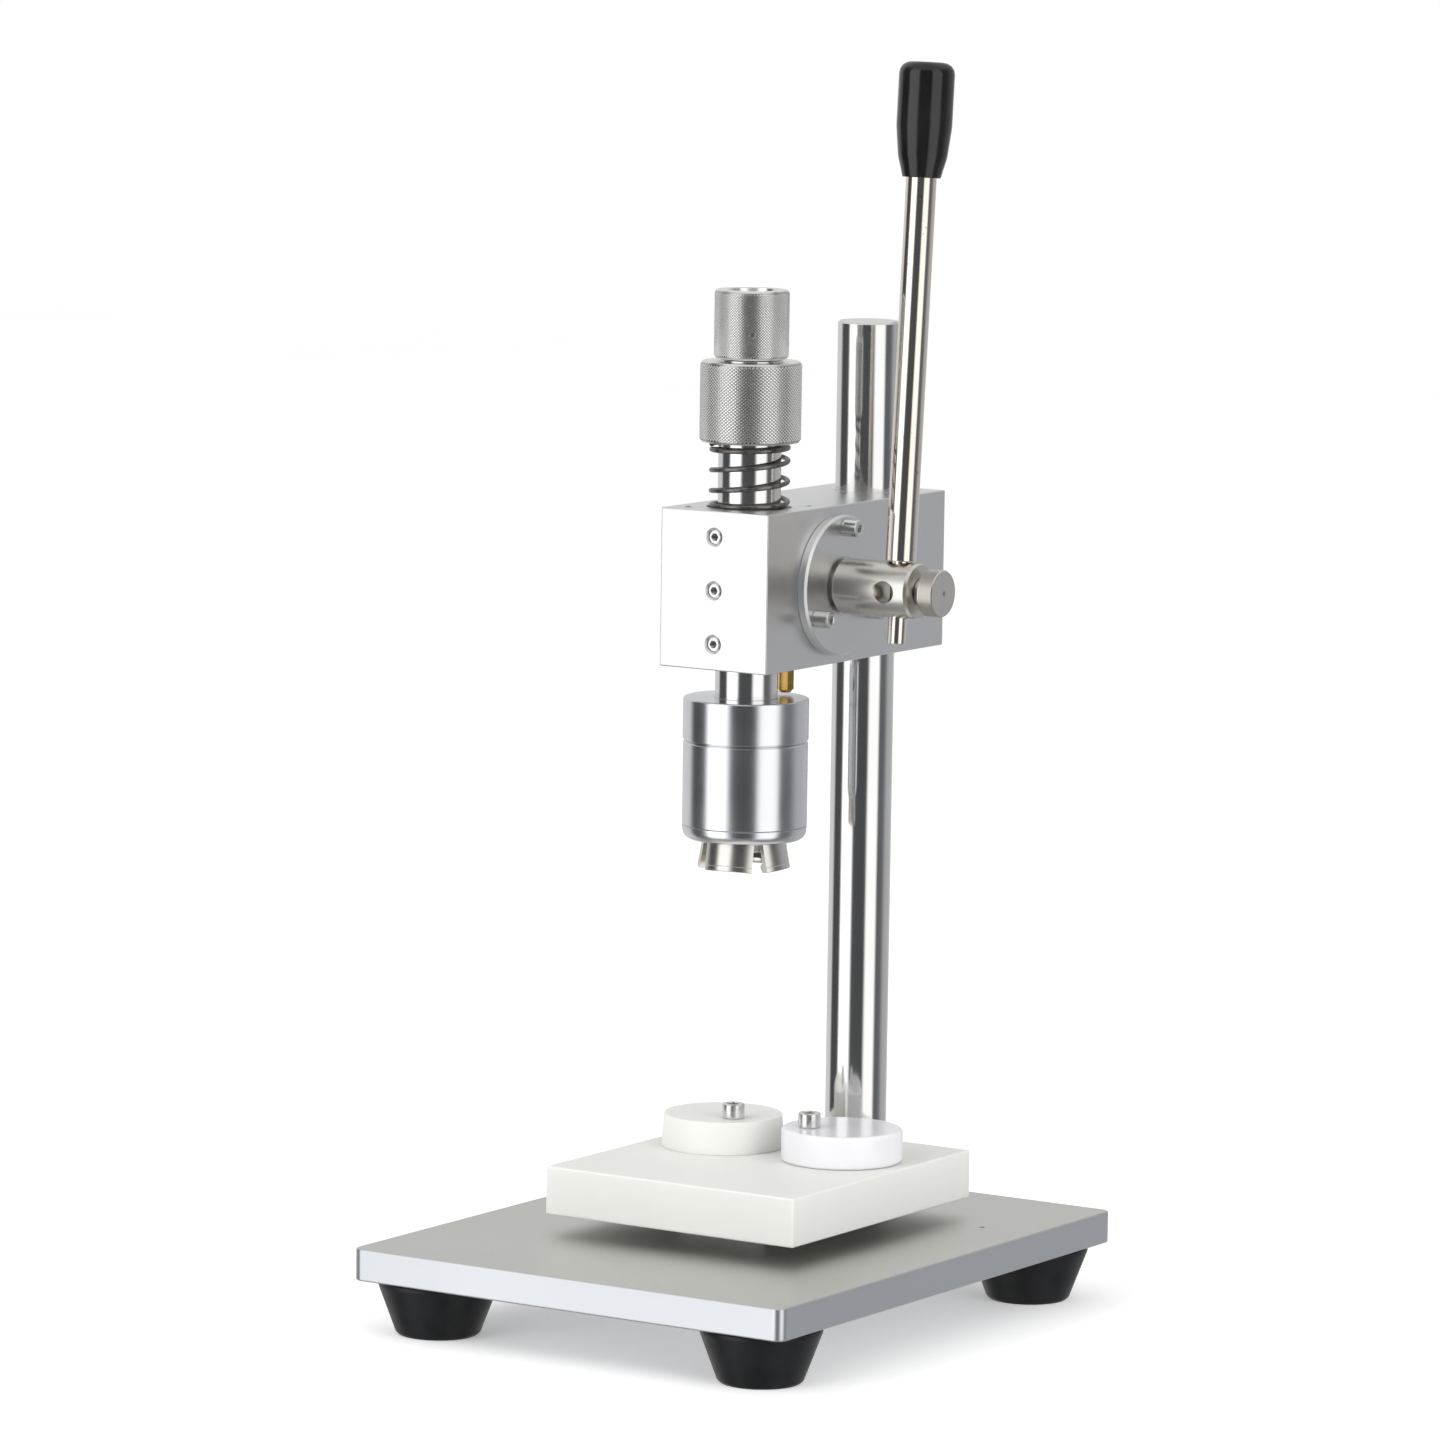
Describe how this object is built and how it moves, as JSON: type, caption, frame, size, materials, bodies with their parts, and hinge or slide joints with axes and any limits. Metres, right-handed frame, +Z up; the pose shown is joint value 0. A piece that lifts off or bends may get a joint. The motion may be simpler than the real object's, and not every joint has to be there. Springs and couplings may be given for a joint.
{
  "type": "capping machine",
  "caption": "Bench capping machine: a lever, pinion and rack drive a sprung spindle with a splayed-jaw crimp head, on a height-adjustable head block, post and base plate.",
  "frame": {"origin": "on the floor under the middle of the base plate, which is on the spindle's axis", "axes": "+Z up along the post and spindle; the operator stands at -Y; the lever is on +X and the post at +Y"},
  "size_m": [0.2, 0.25, 0.5013],
  "materials": {
    "plate_aluminium": "satin anodised, warm grey, with brushed edges",
    "block_aluminium": "satin anodised silver over a fine bead blast",
    "turned_aluminium": "fine turned, nearly polished",
    "hard_chrome": "ground and hard chromed, bright",
    "nickel": "polished and nickel plated, warm",
    "knurled_steel": "matt nickel with a diamond knurl",
    "satin_steel": "satin machined steel",
    "bright_steel": "bright plated steel",
    "dark_steel": "dark oiled spring and screw steel",
    "brass": "bright machined brass",
    "foot_rubber": "black moulded rubber, satin",
    "grip_plastic": "black, glossy",
    "platform_nylon": "warm white nylon, milled",
    "pad_nylon": "cool white nylon, turned"
  },
  "bodies": {
    "base": {"base_plate": "plate_aluminium", "foot_1": "foot_rubber", "foot_2": "foot_rubber", "foot_3": "foot_rubber", "foot_4": "foot_rubber", "foot_screw_1": "bright_steel", "foot_screw_2": "bright_steel", "foot_screw_3": "bright_steel", "foot_screw_4": "bright_steel", "riser_block": "block_aluminium", "platform": "platform_nylon", "platform_screw_1": "bright_steel", "platform_screw_2": "bright_steel", "post_bolt": "bright_steel"},
    "column": {"post": "hard_chrome"},
    "head": {"head_block": "block_aluminium", "key_screw_1": "bright_steel", "key_screw_2": "bright_steel", "key_screw_3": "bright_steel", "guide_key": "brass", "clamp_screw_1": "dark_steel", "clamp_screw_2": "dark_steel", "up_stop": "brass", "bearing_flange": "block_aluminium", "flange_screw_1": "bright_steel", "flange_screw_2": "bright_steel", "flange_screw_3": "bright_steel", "left_bearing": "brass", "return_spring": "dark_steel"},
    "lever": {"pinion_shaft": "satin_steel", "lever_hub": "satin_steel"},
    "lever_arm": {"lever_rod": "nickel", "lever_grip": "grip_plastic"},
    "clamp_knob": {"thumb_screw": "satin_steel"},
    "ram": {"spindle": "hard_chrome", "head_collar": "turned_aluminium", "collar_grub": "dark_steel", "head_bell": "turned_aluminium", "closing_ring": "turned_aluminium", "jaw_spring": "dark_steel"},
    "stroke_collar": {"height_collar": "knurled_steel"},
    "knob": {"depth_knob": "knurled_steel"},
    "plunger": {"plunger_rod": "satin_steel", "plunger_tip": "satin_steel"},
    "carrier": {"jaw_carrier": "satin_steel", "jaw_band": "foot_rubber"},
    "jaw_1": {"jaw_1": "satin_steel"},
    "jaw_2": {"jaw_2": "satin_steel"},
    "jaw_3": {"jaw_3": "satin_steel"},
    "jaw_4": {"jaw_4": "satin_steel"},
    "pad_right": {"pad_right": "pad_nylon"},
    "pad_left": {"pad_left": "platform_nylon"},
    "bush_right": {"bush_right": "bright_steel"},
    "bush_left": {"bush_left": "bright_steel"}
  },
  "joints": [
    {"name": "post_turn", "type": "hinge", "parent": "base", "child": "column", "pos_m": [0, 0.0875, 0.1], "axis": [0, 0, 1], "continuous": true},
    {"name": "head_lift", "type": "slide", "parent": "column", "child": "head", "axis": [0, 0, 1], "range_m": [-0.07, 0.06]},
    {"name": "lever_turn", "type": "hinge", "parent": "head", "child": "lever", "pos_m": [0, 0.025, 0.2935], "axis": [1, 0, 0], "range_deg": [0, 60]},
    {"name": "ram_slide", "type": "slide", "parent": "head", "child": "ram", "axis": [0, 0, -1], "range_m": [0, 0.01502], "stiffness_N_per_m": 2500, "springref_m": -0.012, "deforming": ["return_spring"]},
    {"name": "rod_pull", "type": "slide", "parent": "lever", "child": "lever_arm", "axis": [0, 0.0698, 0.9976], "range_m": [0, 0.035]},
    {"name": "thumb_turn", "type": "hinge", "parent": "lever", "child": "clamp_knob", "pos_m": [0.0715, 0.025, 0.2935], "axis": [1, 0, 0], "range_deg": [-180, 180]},
    {"name": "collar_turn", "type": "hinge", "parent": "ram", "child": "stroke_collar", "pos_m": [0, 0, 0.366], "axis": [0, 0, 1], "range_deg": [-180, 180]},
    {"name": "knob_turn", "type": "hinge", "parent": "ram", "child": "knob", "pos_m": [0, 0, 0.395], "axis": [0, 0, 1], "range_deg": [-360, 360]},
    {"name": "plunger_slide", "type": "slide", "parent": "ram", "child": "plunger", "axis": [0, 0, -1], "range_m": [-0.001, 0.001]},
    {"name": "jaw_lift", "type": "slide", "parent": "ram", "child": "carrier", "axis": [0, 0, 1], "range_m": [0, 0.007], "stiffness_N_per_m": 600, "springref_m": -0.004, "deforming": ["jaw_spring"]},
    {"name": "jaw_hinge_1", "type": "hinge", "parent": "carrier", "child": "jaw_1", "pos_m": [0.01286, 0.0019, 0.2016], "axis": [-0.1461, 0.9893, 0], "range_deg": [0, 8.05]},
    {"name": "jaw_hinge_2", "type": "hinge", "parent": "carrier", "child": "jaw_2", "pos_m": [-0.0019, 0.01286, 0.2016], "axis": [-0.9893, -0.1461, 0], "range_deg": [0, 8.05]},
    {"name": "jaw_hinge_3", "type": "hinge", "parent": "carrier", "child": "jaw_3", "pos_m": [-0.01286, -0.0019, 0.2016], "axis": [0.1461, -0.9893, 0], "range_deg": [0, 8.05]},
    {"name": "jaw_hinge_4", "type": "hinge", "parent": "carrier", "child": "jaw_4", "pos_m": [0.0019, -0.01286, 0.2016], "axis": [0.9893, 0.1461, 0], "range_deg": [0, 8.05]},
    {"name": "pad_right_slide", "type": "slide", "parent": "base", "child": "pad_right", "axis": [1, 0, 0], "range_m": [0, 0.025]},
    {"name": "pad_left_slide", "type": "slide", "parent": "base", "child": "pad_left", "axis": [-1, 0, 0], "range_m": [0, 0.025]},
    {"name": "bush_right_lift", "type": "slide", "parent": "pad_right", "child": "bush_right", "axis": [0, 0, 1], "range_m": [0, 0.012]},
    {"name": "bush_left_lift", "type": "slide", "parent": "pad_left", "child": "bush_left", "axis": [0, 0, 1], "range_m": [0, 0.012]}
  ],
  "couplings": [
    {"joint": "ram_slide", "follows": "lever_turn", "m_per_rad": 0.01425},
    {"joint": "knob_turn", "follows": "plunger_slide", "rad_per_m": 6283.2},
    {"joint": "jaw_hinge_1", "follows": "jaw_lift", "rad_per_m": 19.947},
    {"joint": "jaw_hinge_2", "follows": "jaw_lift", "rad_per_m": 19.947},
    {"joint": "jaw_hinge_3", "follows": "jaw_lift", "rad_per_m": 19.947},
    {"joint": "jaw_hinge_4", "follows": "jaw_lift", "rad_per_m": 19.947}
  ]
}
